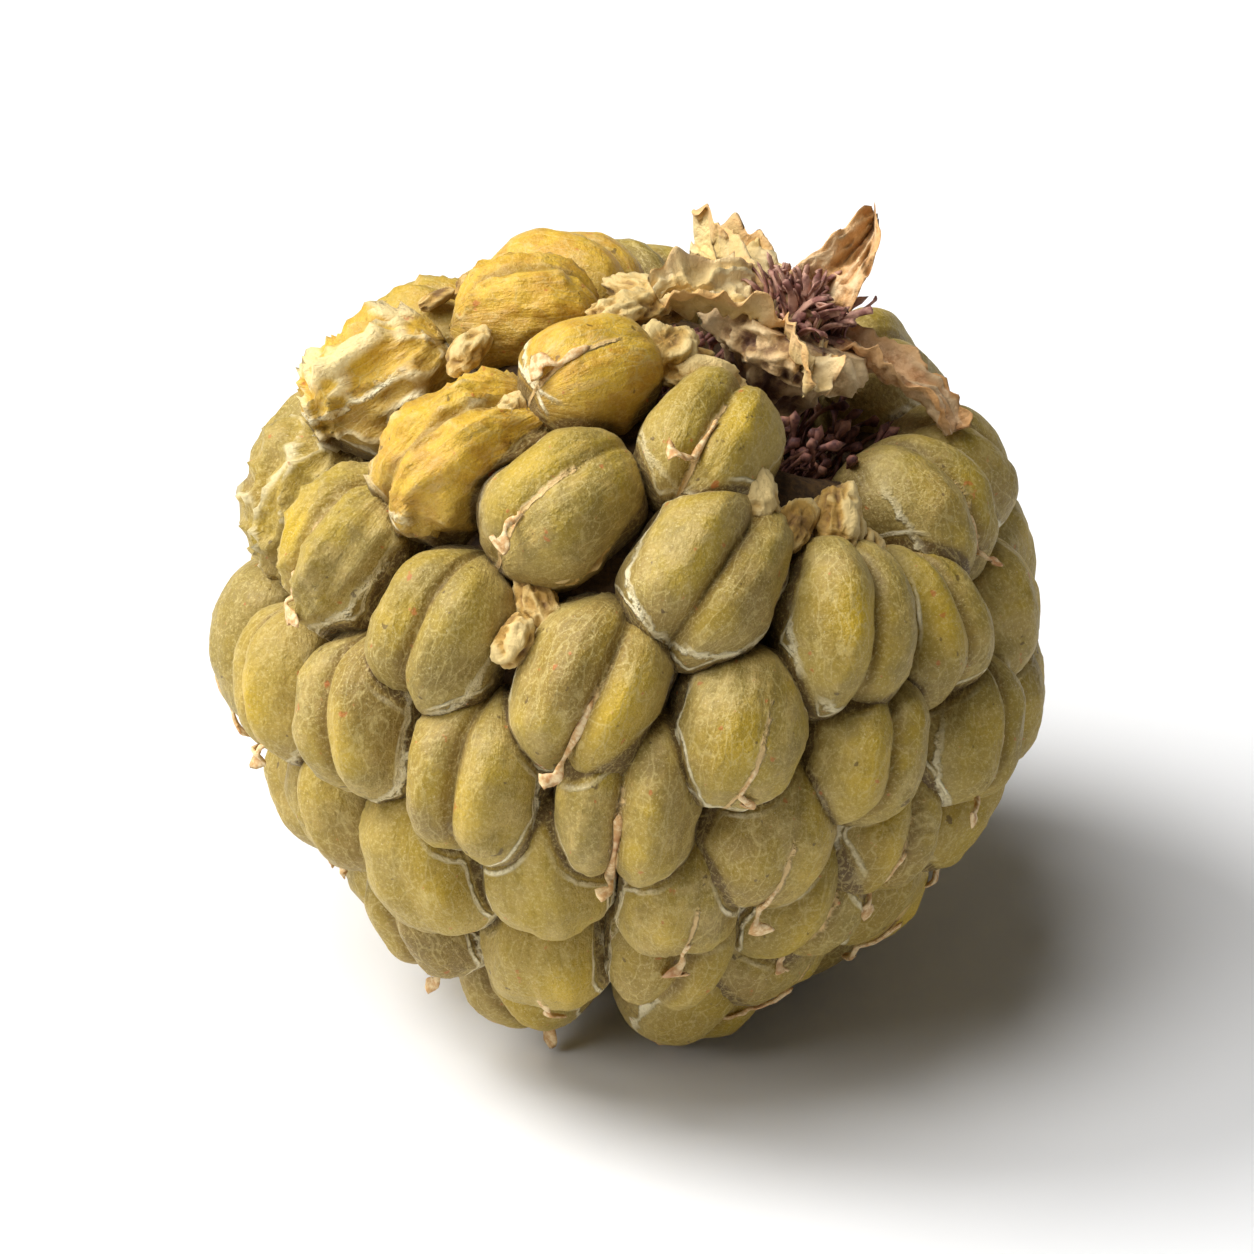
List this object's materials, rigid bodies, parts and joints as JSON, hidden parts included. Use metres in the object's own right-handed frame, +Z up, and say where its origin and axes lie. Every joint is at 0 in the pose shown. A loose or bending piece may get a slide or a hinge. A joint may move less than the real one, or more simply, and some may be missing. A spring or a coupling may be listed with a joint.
{
  "type": "dried raspberry",
  "caption": "Small dried unripe raspberry: a round head of two-lobed drupelets with its withered calyx and stamens at the base.",
  "frame": {"origin": "on the surface that the berry rests on, straight below the middle of its head", "axes": "+Z up as the berry rests, -Y towards the side that shows best; the tip points down and the base up, leaning back and to the right (+Y and +X)"},
  "size_m": [0.0103, 0.0101, 0.01],
  "materials": {
    "drupelet_skin": "dried fruit skin, olive to ochre, finely downy, dull with a slight waxy sheen",
    "dry_sepal": "dry leafy skin, tan with brown edges, matt",
    "withered_stamen": "withered threads, dark purple-brown, matt"
  },
  "bodies": {
    "root": {"drupelets": "drupelet_skin", "calyx": "dry_sepal", "stamens": "withered_stamen"}
  },
  "joints": []
}
